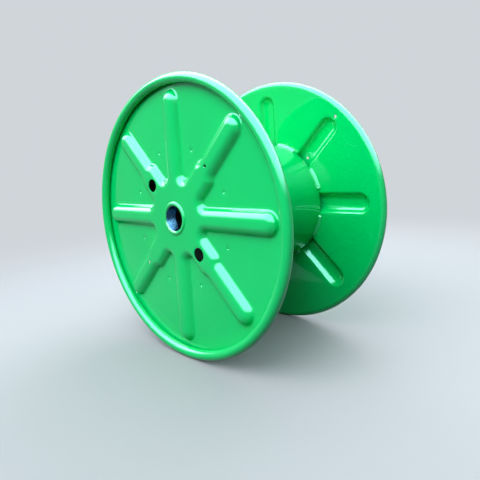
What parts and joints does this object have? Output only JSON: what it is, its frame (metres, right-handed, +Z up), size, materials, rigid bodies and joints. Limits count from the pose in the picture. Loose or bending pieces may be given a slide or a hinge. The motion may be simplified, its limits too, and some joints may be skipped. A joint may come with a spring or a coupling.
{
  "type": "cable bobbin",
  "caption": "Pressed steel cable bobbin: ribbed round flanges with rolled rims, a welded tubular barrel and bored hub bushes.",
  "frame": {"origin": "on the bobbin's axis, halfway between the flanges", "axes": "+Y along the bobbin's axis from the front flange to the rear one, +Z up as it lies on its rims, +X to the right seen from the front"},
  "size_m": [0.6299, 0.3658, 0.63],
  "materials": {
    "flange_paint": "high-gloss green paint on sheet steel",
    "barrel_paint": "high-gloss green paint on rolled tube and welds",
    "bush": "high-gloss green paint outside, bore left as bare machined steel"
  },
  "bodies": {
    "root": {"front_flange": "flange_paint", "rear_flange": "flange_paint", "barrel": "barrel_paint", "front_bush": "bush", "rear_bush": "bush"}
  },
  "joints": []
}
